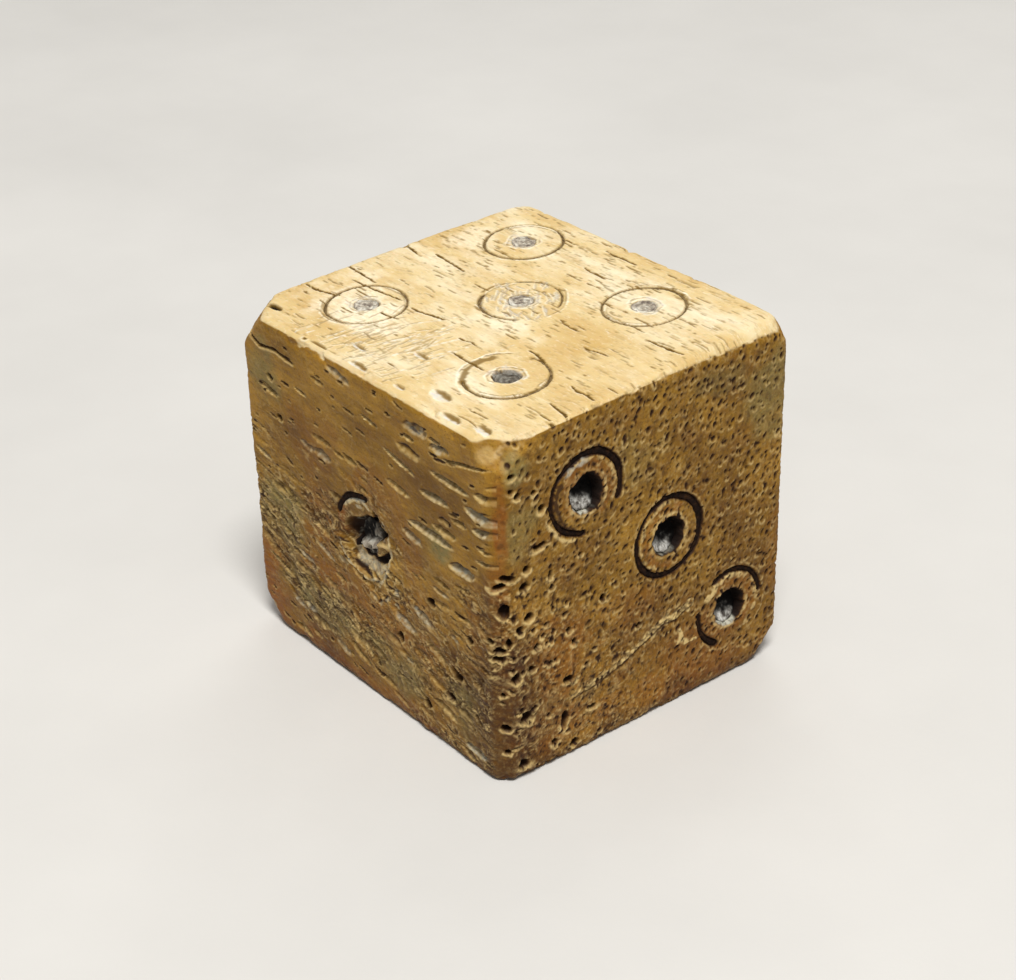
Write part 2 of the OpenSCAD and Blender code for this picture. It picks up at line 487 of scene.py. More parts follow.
def end_pores(face_map, spacing, rng, keep):
    """The open ends of the canals, on the faces that cut across the grain."""
    for row in np.arange(-5.8, 5.8, spacing):
        for column in np.arange(-5.8, 5.8, spacing):
            u, v = column + rng.normal(0, 0.33 * spacing), row + rng.normal(0, 0.33 * spacing)
            chance = 0.85 + 0.35 * noise(np.array([u, v]) / 1.3, SEED + 3)
            if rng.uniform() > chance * keep(u, v):
                continue
            r = 0.028 + 0.045 * rng.uniform() ** 1.8
            face_map.pore(u, v, r, r * rng.uniform(1.1, 2.0), rng.normal(-28, 22), 0.02 + 0.8 * r,
                          rng.uniform(0.36, 0.78), lip=0.9 * rng.uniform() ** 2,
                          seed=int(1000 * (u + v + 20)))


# Long open canals of the five face, as (start, end, width)
FIVE_CANALS = [
    ((-6.1, -1.4), (-4.3, -1.55), 0.07), ((-5.4, -3.1), (-4.4, -2.8), 0.08),
    ((-4.9, -1.9), (-2.8, -1.7), 0.07), ((-2.2, -1.8), (-0.9, -1.6), 0.08),
    ((-2.6, -2.6), (-1.9, -2.5), 0.07), ((-4.6, 0.9), (-3.0, 0.75), 0.08),
    ((0.9, -2.65), (2.3, -2.7), 0.07), ((0.3, -2.0), (1.0, -1.95), 0.06), ((-5.8, 0.62), (-5.0, 0.5), 0.08),
    ((-6.1, -3.1), (-5.2, -3.0), 0.06), ((4.2, 1.6), (5.5, 1.7), 0.08), ((-0.6, 3.4), (0.4, 3.3), 0.07),
    ((5.0, -2.6), (6.1, -2.8), 0.08), ((3.2, 0.1), (4.1, 0.2), 0.06), ((2.3, -1.1), (3.3, -1.3), 0.08),
    ((-1.0, 4.6), (0.4, 4.55), 0.06), ((4.7, -1.6), (5.7, -1.7), 0.08), ((1.5, 0.7), (2.4, 0.6), 0.06),
]


def scratch(face_map, middle, size, tilt, width, depth, dark, bend=None, **looks):
    """A straight scratch that leans by tilt degrees from u, or one that is bent in its middle."""
    step = size / 2 * direction(tilt)
    points = [middle - step, middle + step]
    if bend is not None:
        points.insert(1, middle + bend)
    face_map.stroke(points, width, depth, dark, **looks)


def scratch_five(face_map, rng):
    """Crossing scratches in front of the five face's middle pip, and short ones on that pip."""
    for index in range(110):
        middle = np.array([rng.normal(-0.9, 1.3), rng.normal(-3.7, 0.8)])
        size = rng.uniform(0.2, 0.7)
        scratch(face_map, middle, size, 90 - rng.normal(10, 10), 0.045, 0.012, 0.3, lip=1.0, seed=200 + index)
    worn = PIPS["five", 3]
    for index in range(70):
        r, a = 1.25 * rng.uniform() ** 0.5, rng.uniform(0, 2 * math.pi)
        middle = np.array([worn.u + r * math.cos(a), worn.v + r * math.sin(a)])
        scratch(face_map, middle, 0.32, rng.normal(-35, 16), 0.05, 0.02, 0.3, lip=1.0, grey=0.6,
                seed=400 + index)


def wear_five_pips(face_map):
    """Broken dark and pale circles, left where the drill's marks have worn down."""
    # Each circle, as (radius, start, sweep, strength)
    circles = [
        (1.33, 140, 90, 0.45), (1.09, -70, 120, 0.4), (0.5, 30, 260, 0.42), (0.34, 200, 240, 0.4),
        (0.18, 80, 250, 0.4),
    ]
    for pip in pips_of("five"):
        turn, seed = 70 * pip.index, pip.ring.seed
        for radius, start, sweep, strength in circles:
            face_map.band("dark", pip.u, pip.v, radius, 0.05, start + turn, sweep, strength, 0.6, seed)
            face_map.band("pale", pip.u, pip.v, radius + 0.05, 0.06, start + turn, sweep, 0.9, 0.8, seed)
        face_map.band("grey", pip.u, pip.v, 0.3, 0.5, turn, 230, 0.5, 0.9, seed + 2)
    front, worn = PIPS["five", 5], PIPS["five", 3]
    face_map.band("dark", front.u, front.v, 1.2, 0.26, 150, 115, 0.48, 0.4, 51)
    face_map.band("pale", front.u, front.v, 1.36, 0.09, 150, 130, 1.0, 0.5, 52)
    face_map.band("dark", worn.u, worn.v, 1.25, 0.09, 150, 55, 0.5, 0.6, 53)


def draw_five():
    """The five face: the smoothest and palest, with fine grain along u and worn pips."""
    face_map = FaceMap("five")
    rng = np.random.default_rng(SEED + 5)
    face_map.fibres(0.0, 0.4, SEED + 50, length=0.5, width=0.08, relief=0.01, pale=1.0, dark=0.6, level=0.45)
    face_map.fibres(0.0, 0.4, SEED + 51, length=0.22, width=0.045, relief=0.008, pale=0.8, dark=0.7,
                    level=0.5)

    def busy(u, v):
        return 0.6 + 0.7 * smooth(v + 0.25 * u, -2.5, 2.5)

    grain_dashes(face_map, 750, along_u, rng, length=(0.1, 0.45), width=(0.03, 0.05), depth=0.02, dark=0.5,
                 keep=busy)
    grain_dashes(face_map, 200, along_u, rng, length=(0.2, 0.85), width=(0.035, 0.065), depth=0.04, dark=0.62,
                 lip=0.4, keep=busy)
    for index, (start, end, width) in enumerate(FIVE_CANALS):
        start, end = np.array(start), np.array(end)
        bends = [start + (end - start) * t + np.array([0, rng.normal(0, 0.035)]) for t in (0.3, 0.65)]
        face_map.stroke([start, *bends, end], width, 0.06, 0.75, lip=0.6, ragged=0.5, seed=40 + index)
    face_map.pore(-5.2, -4.55, 0.12, 0.36, 90, 0.2, 1.0, seed=2, ragged=0.1)
    face_map.pore(-6.0, 0.62, 0.17, 0.34, 90, 0.5, 0.5, seed=3)
    # Each chip, as (u, v, half length, half height)
    chips = [
        (-2.2, -5.15, 0.48, 0.2), (-0.4, -5.0, 0.4, 0.17), (2.6, -4.4, 0.42, 0.22), (3.75, -5.0, 0.42, 0.2),
        (4.85, -4.75, 0.32, 0.18), (-1.3, -4.3, 0.34, 0.1), (1.4, -4.9, 0.24, 0.1), (0.4, -3.4, 0.3, 0.12),
    ]
    for index, (u, v, length, height) in enumerate(chips):
        face_map.lens(u, v, length, height, -4, depth=0.08, grey=1.3, dark=0.5, lip=1.0, seed=60 + index,
                      ragged=0.12)
    scratch_five(face_map, rng)
    wear_five_pips(face_map)
    for index in range(26):
        middle = np.array([rng.normal(-0.9, 1.6), rng.normal(-3.5, 0.9)])
        size, tilt = rng.uniform(0.8, 1.8), 90 - rng.normal(12, 8)
        scratch(face_map, middle, size, tilt, 0.07, 0.008, 0.12, rng.normal(0, 0.04, 2), pale=1.3,
                seed=600 + index)
    face_map.wash("pale", [
        (-2.6, -3.0, 1.8, 1.0, 0.8), (-4.4, -2.4, 1.4, 1.6, 0.6), (-4.6, 2.4, 1.0, 1.0, 0.5),
        (0.6, -0.6, 1.6, 0.5, 0.5), (3.0, 3.4, 1.4, 0.5, 0.4), (-3.5, 1.6, 1.2, 0.35, 0.35),
        (2.6, -3.6, 1.6, 0.5, 0.45),
    ], 95)
    draw_pips(face_map)
    return face_map


def draw_grain_side(name, seed):
    """The one or the six face: long canals cut open, rougher towards the bottom."""
    face_map = FaceMap(name)
    rng = np.random.default_rng(SEED + seed)
    turn = 1 if name == "one" else -1
    forward = turn * MAP_U

    def slope(u, v):
        return turn * slope_of_one(turn * u, v)

    banks = fractal(np.stack([MAP_U / 3.2, (MAP_V + 0.25 * forward) / 1.1], -1), SEED + seed + 60)
    rough = smooth(-MAP_V + 1.6 * banks, -2.5, 1.5) * (0.55 + 0.45 * smooth(banks, -0.4, 0.4))
    tilt = turn * (-6 - 9 * smooth(-MAP_V, -3, 1))
    face_map.fibres(tilt, 0.1 + 0.6 * rough, SEED + seed + 61, length=0.8, width=0.24, relief=0.07,
                    dark=0.5, level=0.3)
    face_map.fibres(tilt, 0.1 + 0.5 * rough, SEED + seed + 62, length=0.36, width=0.12, relief=0.04,
                    dark=0.5, level=0.35)
    face_map.curls(tilt, 0.15 + 0.9 * rough, SEED + seed + 65, length=0.75, width=0.24, thin=0.08, dark=0.5)
    face_map.curls(tilt, 1.1 * smooth(rough, 0.1, 0.8), SEED + seed + 66, length=0.32, width=0.15, thin=0.1,
                   dark=0.5)
    calm = 1 - 0.75 * smooth(-MAP_V + 0.5 * banks, 4.1, 4.7) * smooth(2.5 - forward + banks, 0, 1.5)
    calm = calm * (1 - 0.7 * smooth(-forward - 0.9 * MAP_V + banks, 8.0, 8.8))
    for layer in (face_map.dark, face_map.pale, face_map.depth):
        layer *= calm
    face_map.grit(0.5 * rough * smooth(forward, -2, 2.5), SEED + seed + 63, size=0.1, relief=0.03)
    grain_dashes(face_map, 210, slope, rng, length=(0.12, 0.5), width=(0.035, 0.08), depth=0.06, dark=0.7,
                 lip=0.7)
    for index in range(150):
        u, v = rng.uniform(-5.7, 5.7), rng.uniform(-5.2, 5.0)
        if turn * u > 4.6:
            continue
        if rng.uniform() > 0.25 + 0.9 * smooth(-v + 0.3 * turn * u, -3.5, 2.5):
            continue
        length = rng.uniform(0.15, 0.6)
        face_map.lens(u, v, length, rng.uniform(0.14, 0.32) * length + 0.02, slope(u, v) + rng.normal(0, 4),
                      depth=rng.uniform(0.06, 0.14), grey=0.6 * (rng.uniform() < 0.2),
                      dark=rng.uniform(0.2, 0.8), lip=rng.uniform(0.5, 1), seed=500 + index)
    return face_map, rng


def draw_one():
    """The one face: named canals at their places, and the broken crater around its pip."""
    face_map, rng = draw_grain_side("one", 1)
    face_map.stroke([(-5.7, 4.5), (-5.0, 4.28), (-4.2, 4.4), (-3.3, 4.28)], 0.11, 0.12, 0.5, lip=1.0, seed=1)
    # Each open canal, as (u, v, half length, half height, grey, angle)
    lenses = [
        (4.67, 4.25, 1.0, 0.06, 0, 12), (4.0, 3.45, 0.8, 0.11, 0.3, -2), (5.85, 3.95, 0.33, 0.08, 0, 2),
        (5.6, 3.57, 0.52, 0.15, 0, 2), (5.3, 2.93, 0.66, 0.17, 1.0, -6), (5.45, 2.5, 0.5, 0.13, 0.6, 7),
        (3.28, 2.7, 0.6, 0.13, 0.5, 0), (1.73, 3.17, 0.69, 0.08, 0.2, -14), (4.41, 0.9, 0.56, 0.17, 1.0, 5),
        (5.45, 1.95, 0.27, 0.07, 0, 0), (5.5, 1.57, 0.42, 0.08, 0.2, 0), (3.03, 1.46, 1.0, 0.14, 0.5, 0),
        (2.2, 4.1, 0.26, 0.08, 0.0, -4), (3.4, 4.45, 0.26, 0.08, 0.3, 0), (-5.4, -1.5, 0.45, 0.09, 0, -14),
        (-4.9, -3.05, 0.6, 0.07, 0, -16), (-5.3, 0.6, 0.4, 0.09, 0.4, -12),
        (4.75, -4.87, 0.5, 0.14, 1.0, -4), (-4.7, 2.9, 0.4, 0.07, 0, -8), (-3.0, 3.5, 0.3, 0.06, 0, -6),
        (0.4, 3.9, 0.4, 0.06, 0.2, -8),
    ]
    for index, (u, v, length, height, grey, angle) in enumerate(lenses):
        face_map.lens(u, v, length, height, angle, depth=0.19, grey=grey, lip=1.3, seed=index, ragged=0.2)
    # Each round hole, as (u, v, size)
    holes = [
        (2.9, -0.8, 0.13), (1.35, -2.7, 0.13), (4.0, -2.65, 0.15), (2.5, -4.4, 0.12), (4.6, -1.2, 0.1),
        (3.6, -3.6, 0.09), (-4.6, 3.4, 0.1), (-4.2, 2.2, 0.1),
    ]
    for index, (u, v, size) in enumerate(holes):
        face_map.pore(u, v, size, 1.3 * size, 60, 0.28, 1.0, lip=0.9, seed=index, ragged=0.4)
    draw_crater(face_map, rng)
    face_map.wash("orange", [
        (-5.6, -4.0, 1.2, 1.5, 1.2), (-1.5, -5.3, 5.0, 0.6, 1.2), (5.9, 0.8, 0.6, 1.9, 1.0),
        (-0.6, -1.5, 0.4, 1.0, 0.7), (0.6, 1.6, 1.5, 0.9, 0.5), (-2.5, 2.2, 1.5, 1.2, 0.4),
        (2.3, -1.8, 0.8, 1.4, 0.5), (4.9, -0.6, 0.5, 1.6, 0.6), (0.0, -2.4, 3.4, 1.0, 0.7),
        (-2.6, -0.4, 1.0, 1.6, 0.6), (1.9, 0.4, 0.8, 1.2, 0.55),
    ], 81)
    face_map.wash("olive", [
        (-4.4, -1.2, 1.4, 1.4, 1.0), (-2.4, -3.4, 2.4, 0.9, 1.1), (1.2, -3.8, 1.6, 1.0, 1.0),
        (4.4, -3.8, 1.0, 1.1, 1.0), (3.3, 1.3, 0.9, 0.5, 1.0), (-4.9, 3.4, 0.8, 1.1, 0.8),
        (2.2, -1.8, 1.0, 0.6, 0.6),
    ], 82)
    draw_pips(face_map)
    return face_map


CRATER_AXIS = np.array([0.95, 0.31])  # the direction, on the one face, in which its crater is long


def across_crater(u, v):
    """How far a point lies from the long axis of the crater."""
    return -CRATER_AXIS[1] * u + CRATER_AXIS[0] * v


def draw_crater(face_map, rng):
    """The broken middle of the one face: a slanted hole, a bridge over it, and a pale shelf below."""
    middle_u, middle_v = -0.37, -0.08
    off_u, off_v = MAP_U - middle_u, MAP_V - middle_v
    r = np.hypot(off_u, off_v)
    face_map.pore(middle_u, middle_v, 1.3, 1.3, 0, 0.08, 0.0, seed=21, ragged=0.1)
    low_side = arc_weight(np.degrees(np.arctan2(off_v, off_u)), 192, 140)
    face_map.stamp(ALL, depth=0.3 * np.clip((1.3 - r) / 0.5, 0, 1) * low_side * (r > 0.6))
    hole = np.array([-0.1, 0.17])
    face_map.pore(*hole, 0.44, 1.08, -72, 0.6, 0.85, seed=22, ragged=0.3)
    face_map.pore(0.37, 0.8, 0.12, 0.18, 20, 0.25, 0.7, seed=23, ragged=0.4)
    face_map.stroke([(-0.36, -0.58), (0.05, -0.68), (0.47, -0.58), (0.83, -0.32), (0.97, -0.1)], 0.27, 0.4,
                    0.95, seed=24)
    bridge = bell(across_crater(off_u, off_v) + 0.24, 0.09) * smooth(off_u, 0.5, 0.7) * (r < 1.45)
    face_map.depth *= 1 - 0.8 * bridge
    face_map.dark *= 1 - bridge
    face_map.stamp(ALL, pale=1.3 * bridge)
    for index in range(46):
        along, across = rng.uniform(-0.95, 0.95), rng.uniform(-0.32, 0.32)
        spot = hole + along * CRATER_AXIS + across * np.array([-CRATER_AXIS[1], CRATER_AXIS[0]])
        step = rng.normal(0, 0.06, 2)
        face_map.stroke([spot - step, spot + step], 0.05, 0.0, 0.0, grey=rng.uniform(0.2, 0.55), seed=index)
    # Each pale shelf, as (points, width)
    shelves = [([(-0.95, -0.66), (-0.6, -0.93), (-0.05, -1.02), (0.45, -0.88), (0.8, -0.62)], 0.42),
               ([(-1.23, 0.57), (-0.69, 0.99), (-0.2, 1.06), (0.06, 0.9)], 0.18),
               ([(-0.6, 0.8), (-0.3, 0.82)], 0.12)]
    for index, (points, width) in enumerate(shelves):
        face_map.stroke(points, width, 0.0, 0.0, ragged=0.5, seed=30 + index, grey=0.6, pale=2.2)
    # The pale rim below the crater, from its left end round to its right
    rim = [
        (-1.51, -0.65), (-1.4, -0.94), (-1.07, -1.23), (-0.59, -1.44), (-0.1, -1.48), (0.21, -1.3),
        (0.55, -1.29), (0.89, -0.66), (1.07, -0.1), (0.98, 0.42), (0.74, 0.83),
    ]
    face_map.stroke(rim, 0.1, 0.0, 0.0, ragged=0.5, seed=25, grey=0.5, pale=2.2)
    face_map.stroke([(-1.33, -0.92), (-0.85, -1.2), (-0.36, -1.27), (0.0, -1.14)], 0.03, 0.08, 0.42, seed=26)
    face_map.stroke([(-0.7, -0.8), (-0.3, -1.05), (0.15, -1.1)], 0.03, 0.06, 0.4, seed=27)
    face_map.stroke([(0.74, -0.73), (0.77, -1.19), (1.24, -1.25), (1.37, -1.38)], 0.06, 0.06, 0.6, lip=1.0,
                    seed=28)
    face_map.band("orange", middle_u, 0.0, 1.0, 0.4, 140, 70, 1.1, 0.5, 29)
    # Each crumb below the crater, as (u, v, half length, angle)
    crumbs = [
        (0.14, -1.92, 0.2, -30), (0.42, -1.98, 0.14, 40), (1.24, -1.3, 0.16, -50), (0.34, -1.42, 0.12, 0),
        (0.75, -1.7, 0.15, 30), (1.2, -1.75, 0.12, -10),
    ]
    for u, v, length, angle in crumbs:
        face_map.lens(u, v, length, 0.09, angle, depth=0.09, grey=0.5, dark=0.6, lip=1.3,
                      seed=int(20 + 10 * u))


def draw_front_edge():
    """The worn upright edge between the one and the three face, unrolled: u runs across it, and v up it."""
    face_map = FaceMap("front_edge")
    rng = np.random.default_rng(SEED + 9)
    # Each hole, as (u, v, half its size across, half its size up)
    holes = [
        (0.3, 1.2, 0.28, 0.12), (0.12, 0.15, 0.25, 0.2), (-0.05, 0.95, 0.3, 0.09),
        (0.27, -0.84, 0.14, 0.13), (-0.15, -1.1, 0.24, 0.09), (-0.2, -1.35, 0.2, 0.08),
        (0.05, -3.6, 0.2, 0.12), (-0.45, -0.8, 0.14, 0.09), (0.0, -2.5, 0.1, 0.07), (0.1, -4.4, 0.12, 0.09),
    ]
    for index, (u, v, across, along) in enumerate(holes):
        face_map.pore(u, v, across, along, rng.normal(0, 10), 0.28, 1.0, lip=1.2, seed=index, ragged=0.25,
                      thick=1.5)
    for index in range(7):
        v = -1.3 - 0.5 * index + rng.normal(0, 0.1)
        face_map.lens(rng.normal(0.3, 0.2), v, rng.uniform(0.1, 0.25), rng.uniform(0.04, 0.09),
                      rng.normal(-8, 12), depth=0.1, lip=1.0, dark=rng.uniform(0.5, 0.9), seed=90 + index)
    face_map.wash("orange", [(0.06, 2.6, 0.32, 2.4, 1.3), (0.05, 0.4, 0.4, 1.6, 1.0),
                             (0.1, -1.6, 0.4, 1.0, 0.6)], 92)
    face_map.wash("pale", [(-0.35, 4.75, 0.5, 0.2, 0.4), (0.3, 4.55, 0.25, 0.25, 0.3)], 93)
    face_map.wash("olive", [(0.6, 4.4, 0.5, 0.5, 0.9)], 94)
    return face_map


def slope_of_one(u, v):
    """Slope of the grain on the one face, in degrees."""
    return -5 - 11 * smooth(-v, -3.5, 1.5) + 13 * smooth(u, 1.5, 4.5) * smooth(v, -2, 1)


def draw_end(name, seed):
    """The three or the four face, where the grain is cut across."""
    face_map = FaceMap(name)
    rng = np.random.default_rng(SEED + seed)
    broken = smooth(-(MAP_U + 0.8 * MAP_V) + 1.2 * fractal(MAP_UV / 1.4, SEED + 60), 1.5, 4.5)
    face_map.grit(0.45 + 0.5 * broken, SEED + seed + 60, size=0.14, relief=0.025, pale=0.4, dark=0.7,
                  squash=1.4)
    face_map.grit(0.5 + 0.5 * broken, SEED + seed + 61, size=0.08, relief=0.018, pale=0.7, dark=0.6)
    face_map.curls(-8, 0.8 * broken, SEED + seed + 62, length=0.3, width=0.16, thin=0.06)

    def keep(u, v):
        return (1 - 0.75 * smooth(-u - 0.9 * v, 1.0, 4.5)) * (0.4 + 0.6 * smooth(u, -5.2, -2.2))

    end_pores(face_map, 0.225, rng, keep)
    return face_map, rng


def draw_three():
    """The three face: its large pores at their places, a ridge across it, and three deep pips."""
    face_map, rng = draw_end("three", 3)
    # Each of the largest pores, as (u, v, half its size across, half its size up)
    big = [
        (-4.26, -0.22, 0.14, 0.13), (-4.58, -0.49, 0.12, 0.1), (-4.0, -1.29, 0.1, 0.09),
        (-2.87, -1.23, 0.08, 0.09), (-2.69, -1.67, 0.08, 0.1), (-3.52, -2.03, 0.07, 0.08),
        (-4.2, -1.93, 0.1, 0.1), (-4.72, -2.02, 0.15, 0.17), (-2.23, -2.6, 0.07, 0.06),
        (-2.89, -2.85, 0.2, 0.12), (-4.41, -3.45, 0.2, 0.17), (-3.05, -4.13, 0.12, 0.28),
        (-2.02, -4.13, 0.12, 0.08), (-3.43, -4.7, 0.12, 0.09), (-2.7, -5.05, 0.12, 0.12),
        (-4.56, -4.95, 0.2, 0.17), (-4.32, 1.32, 0.1, 0.12), (-3.5, 0.83, 0.07, 0.12),
        (-4.4, 0.79, 0.14, 0.12), (-1.63, -0.68, 0.1, 0.1), (-4.75, 4.26, 0.1, 0.08),
        (-4.77, 3.82, 0.07, 0.07), (-4.55, 3.62, 0.1, 0.08), (-4.02, 3.54, 0.07, 0.07),
        (-3.75, 2.99, 0.1, 0.12), (-3.83, 1.85, 0.18, 0.08), (-2.45, 1.06, 0.06, 0.06),
        (-0.3, -2.15, 0.08, 0.08),
    ]
    for index, (u, v, across, along) in enumerate(big):
        face_map.pore(u, v, across, along, rng.normal(0, 12), 0.3, 1.0, lip=1.3, seed=index, ragged=0.2,
                      thick=1.7)
    for index in range(44):
        u, v = -5.3 + abs(rng.normal(0, 1.7)), rng.uniform(-5.2, 0.6)
        r = rng.uniform(0.04, 0.08)
        face_map.pore(u, v, r, 1.2 * r, rng.normal(0, 25), 0.12, 0.9, lip=1.2, seed=60 + index, thick=1.4)
    ridge = np.array([
        (1.75, -2.2), (1.1, -2.45), (0.63, -2.43), (-0.17, -2.77), (-0.93, -3.11), (-1.86, -3.34),
        (-2.82, -3.45),
    ])
    for index in range(70):
        t = rng.uniform(0, len(ridge) - 1.001)
        at = ridge[int(t)] + (ridge[int(t) + 1] - ridge[int(t)]) * (t % 1)
        spread = 0.14 if t < 2 else 0.06
        face_map.lens(at[0] + rng.normal(0, 0.05), at[1] + rng.normal(0, spread), rng.uniform(0.06, 0.17),
                      rng.uniform(0.04, 0.07), rng.normal(18, 14), depth=0.05, dark=0.4, lip=1.0,
                      seed=130 + index)
    face_map.stroke(ridge[:3], 0.42, 0.0, 0.0, ragged=1.2, seed=8, pale=1.8)
    face_map.stroke(ridge[1:5], 0.24, 0.0, 0.0, ragged=1.0, seed=7, pale=1.9)
    face_map.stroke(ridge[3:], 0.11, 0.0, 0.0, ragged=0.5, seed=9, pale=2.4)
    # A dark groove just below the ridge, painted as its shadow
    face_map.stroke(ridge - np.array([0, 0.13]), 0.07, 0.06, 0.5, ragged=0.7, seed=9)
    first, third = PIPS["three", 1], PIPS["three", 3]
    face_map.band("pale", first.u, first.v, 1.4, 0.12, 190, 66, 1.2, 0.5, 31)
    face_map.band("dark", first.u, first.v, 1.04, 0.16, 140, 110, 0.5, 0.7, 32)
    face_map.band("grey", first.u, first.v, 1.03, 0.15, 85, 55, 0.8, 0.9, 33)
    face_map.band("pale", third.u, third.v, 1.03, 0.2, 60, 95, 1.2, 1.1, 34)
    face_map.wash("orange", [
        (-5.9, 0.0, 0.5, 4.2, 1.0), (1.2, -4.6, 3.6, 0.8, 0.75), (-2.2, 2.85, 0.95, 0.95, 0.7),
        (-3.2, -1.9, 1.6, 1.6, 0.8), (-0.6, -1.3, 1.5, 0.7, 0.4), (-3.6, -4.2, 1.6, 0.8, 0.8),
        (3.2, -3.0, 1.0, 1.0, 0.35), (5.2, -2.0, 0.6, 2.2, 0.4), (1.5, -3.6, 2.5, 0.9, 0.5),
    ], 83)
    face_map.wash("olive", [
        (4.6, 3.4, 1.1, 1.6, 0.7), (-4.6, 2.4, 0.8, 1.2, 0.6), (-3.4, -3.6, 1.6, 0.9, 0.8),
        (-0.4, 3.2, 1.2, 0.9, 0.35), (2.6, 4.6, 1.2, 0.5, 0.4),
    ], 84)
    draw_pips(face_map)
    return face_map


def draw_four():
    """The hidden four face, made in the manner of the three face."""
    face_map, rng = draw_end("four", 4)
    for index in range(40):
        u, v = rng.uniform(-5.2, 5.2, 2)
        r = rng.uniform(0.06, 0.12)
        face_map.pore(u, v, r, 1.2 * r, rng.normal(0, 25), 0.16, 1.0, lip=0.8, seed=60 + index)
    face_map.wash("orange", [(4.8, -3.8, 1.4, 1.6, 0.8), (-1.0, -4.8, 3.5, 0.7, 0.7),
                             (-4.4, 1.5, 1.0, 1.8, 0.4)], 85)
    face_map.wash("olive", [(1.0, 2.8, 1.8, 1.4, 0.6), (-3.5, -2.2, 1.5, 1.2, 0.6)], 86)
    draw_pips(face_map)
    return face_map


def draw_six():
    """The hidden six face, made in the manner of the one face."""
    face_map, _ = draw_grain_side("six", 6)
    face_map.wash("orange", [(4.5, -4.6, 2.0, 0.9, 0.9), (-3.5, -4.9, 2.5, 0.6, 0.8),
                             (0.5, 1.0, 2.4, 0.8, 0.4)], 87)
    face_map.wash("olive", [(-2.8, -2.0, 1.6, 1.2, 0.7), (3.6, 0.6, 1.4, 1.4, 0.6)], 88)
    draw_pips(face_map)
    return face_map


def draw_two():
    """The face that the die stands on, made in the manner of the five face."""
    face_map = FaceMap("two")
    rng = np.random.default_rng(SEED + 2)
    face_map.fibres(2.0, 0.5, SEED + 52, length=0.8, width=0.08, relief=0.015)
    grain_dashes(face_map, 420, lambda u, v: 2, rng, length=(0.15, 0.9), width=(0.03, 0.08), depth=0.05)
    face_map.wash("orange", [(3.0, 3.0, 3.0, 2.0, 0.7), (-3.5, -3.0, 2.0, 2.4, 0.6)], 89)
    face_map.wash("olive", [(-1.0, 1.5, 2.4, 1.2, 0.5)], 90)
    draw_pips(face_map)
    return face_map


MAPS = {"one": draw_one(), "two": draw_two(), "three": draw_three(),
        "four": draw_four(), "five": draw_five(), "six": draw_six()}
FRONT_EDGE = draw_front_edge()


# ---------------------------------------------------------------- the bone

# Legs of the worn corners, by the signs of the three faces that meet there
CORNER_LEGS = {(-1, -1, 1): 1.1, (1, 1, 1): 0.62, (1, -1, 1): 1.15, (-1, 1, 1): 0.7, (1, -1, -1): 0.22,
               (1, 1, -1): 1.0}


def cube_grid(cells):
    """One grid of points per face of a cube, sharing the points along its edges."""
    steps_up = np.arange(cells + 1)
    i, j = np.meshgrid(steps_up, steps_up, indexing="ij")
    keys = []
    # A point's key is its number in the lattice, so a point on an edge has the same key on both its faces
    for sideways, upward, outward in FACES.values():
        point = cells // 2 * (outward + 1) - cells // 2 * (sideways + upward)
        lattice = (point + i[..., None] * sideways + j[..., None] * upward).astype(int)
        keys.append((lattice[..., 0] * (cells + 1) + lattice[..., 1]) * (cells + 1) + lattice[..., 2])
    unique, inverse = np.unique(np.stack(keys), return_inverse=True)
    lattice = np.stack([unique // (cells + 1) ** 2, unique // (cells + 1) % (cells + 1),
                        unique % (cells + 1)], -1)
    return lattice / cells - 0.5, inverse.reshape(len(keys), cells + 1, cells + 1)


def worn_planes(points):
    """Outward normal and distance from the middle of each flat of the worn block, at each point."""
    planes = [
        ((1, 0, 0), HALF[0]), ((-1, 0, 0), HALF[0]), ((0, 1, 0), HALF[1]), ((0, -1, 0), HALF[1]),
        ((0, 0, -1), HALF[2]), (tuple(top_normal), top_normal[2] * HALF[2]),
    ]
    wear = fractal(points / 1.1, SEED + 1) * 0.5 + 0.5
    nick = smooth(fractal(points / 0.55, SEED + 2), 0.25, 0.9)
    rise = HALF[1] * -top_normal[1] / top_normal[2]

    def flat(signs, leg):
        x, y, z = signs
        reach = abs(x) * HALF[0] + abs(y) * HALF[1] + abs(z) * HALF[2]
        if z > 0:
            reach += y * rise
        length = math.sqrt(x * x + y * y + z * z)
        return np.array(signs, float) / length, (reach - leg) / length

    for x, y in product((-1, 1), repeat=2):
        leg = 0.36 + 0.15 * wear if (x, y) == (1, -1) else 0.03 + 0.08 * wear
        planes.append(flat((x, y, 0), leg + 0.12 * nick))
    for x in (-1, 1):
        planes.append(flat((x, 0, -1), 0.05 + 0.12 * wear + 0.15 * nick))
        planes.append(flat((x, 0, 1), (0.13 if x > 0 else 0.08) + 0.07 * wear + 0.12 * nick))
    for y in (-1, 1):
        planes.append(flat((0, y, -1), 0.04 + 0.1 * wear + 0.1 * nick))
        planes.append(flat((0, y, 1), 0.08 + 0.12 * wear + 0.22 * nick))
    for signs in product((-1, 1), repeat=3):
        leg = CORNER_LEGS.get(signs, 0.9)
        planes.append(flat(signs, leg + 0.2 * wear))
    return planes


def block_surface(cube):
    """Points on the worn block before anything is cut into it, and its outward directions."""
    away = cube * 2 * HALF
    total = slope = 0
    for normal, distance in worn_planes(away):
        distance = np.broadcast_to(distance - SKIN, away.shape[:1])
        ratio = np.clip(away @ np.array(normal, float) / distance, 0, None)
        total = total + ratio ** SHARPNESS
        slope = slope + (ratio ** (SHARPNESS - 1) / distance)[:, None] * np.array(normal, float)
    surface = away * total[:, None] ** (-1 / SHARPNESS)
    return surface + CENTRE, slope / np.linalg.norm(slope, axis=1)[:, None]


